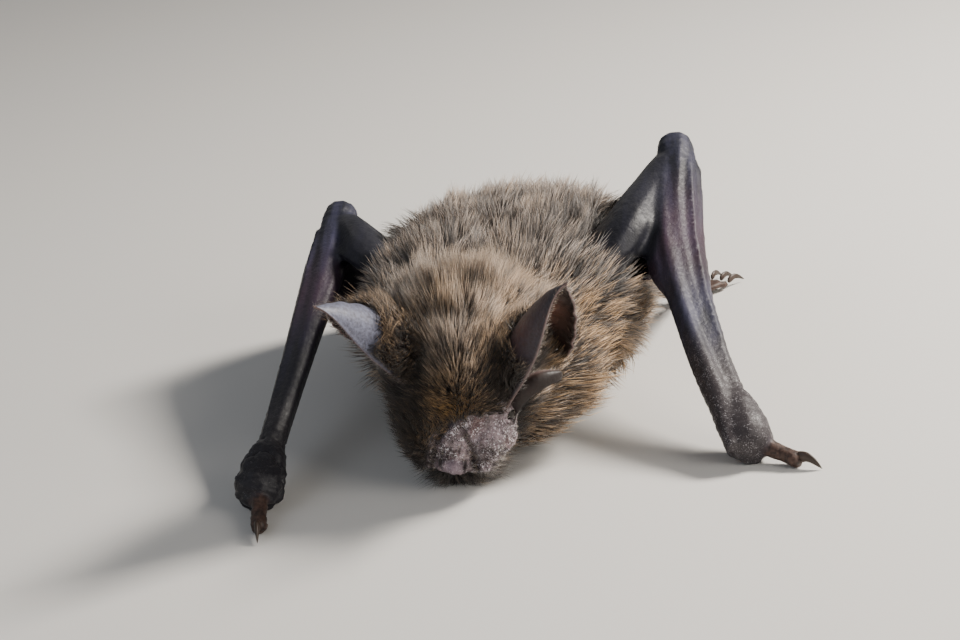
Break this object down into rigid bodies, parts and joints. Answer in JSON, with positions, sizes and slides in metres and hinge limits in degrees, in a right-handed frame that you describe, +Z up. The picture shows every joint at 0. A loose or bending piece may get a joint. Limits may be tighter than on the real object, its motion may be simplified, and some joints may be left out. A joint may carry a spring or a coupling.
{
  "type": "bat animal model",
  "caption": "Small brown vesper bat crouched on its belly and wrists, wings folded, head lowered and turned, a life-size still model.",
  "frame": {"origin": "middle of the underside's bounding rectangle, on the floor", "axes": "-Y the way the bat faces, +X its left side, +Z up"},
  "size_m": [0.0466, 0.0746, 0.0188],
  "materials": {
    "coat": "matt short fur",
    "muzzle_skin": "bare wrinkled skin, half matt",
    "ear_skin": "thin dark skin, half matt",
    "wing_skin": "thin dark skin, soft sheen",
    "foot_skin": "matt skin",
    "claw": "smooth horn",
    "eye": "wet black"
  },
  "bodies": {
    "root": {"head": "coat", "lower_jaw": "muzzle_skin", "neck": "coat", "trunk": "coat", "tail": "wing_skin", "left_eye": "eye", "left_ear": "ear_skin", "left_tragus": "ear_skin", "left_upper_arm": "wing_skin", "left_forearm": "wing_skin", "left_folded_hand": "wing_skin", "left_thumb": "wing_skin", "left_thumb_claw": "claw", "left_thigh": "coat", "left_shin": "wing_skin", "left_foot": "foot_skin", "left_toe_claw_1": "claw", "left_toe_claw_2": "claw", "left_toe_claw_3": "claw", "left_toe_claw_4": "claw", "left_toe_claw_5": "claw", "left_wing_membrane": "wing_skin", "left_tail_membrane": "wing_skin", "right_eye": "eye", "right_ear": "ear_skin", "right_tragus": "ear_skin", "right_upper_arm": "wing_skin", "right_forearm": "wing_skin", "right_folded_hand": "wing_skin", "right_thumb": "wing_skin", "right_thumb_claw": "claw", "right_thigh": "coat", "right_shin": "wing_skin", "right_foot": "foot_skin", "right_toe_claw_1": "claw", "right_toe_claw_2": "claw", "right_toe_claw_3": "claw", "right_toe_claw_4": "claw", "right_toe_claw_5": "claw", "right_wing_membrane": "wing_skin", "right_tail_membrane": "wing_skin"}
  },
  "joints": []
}
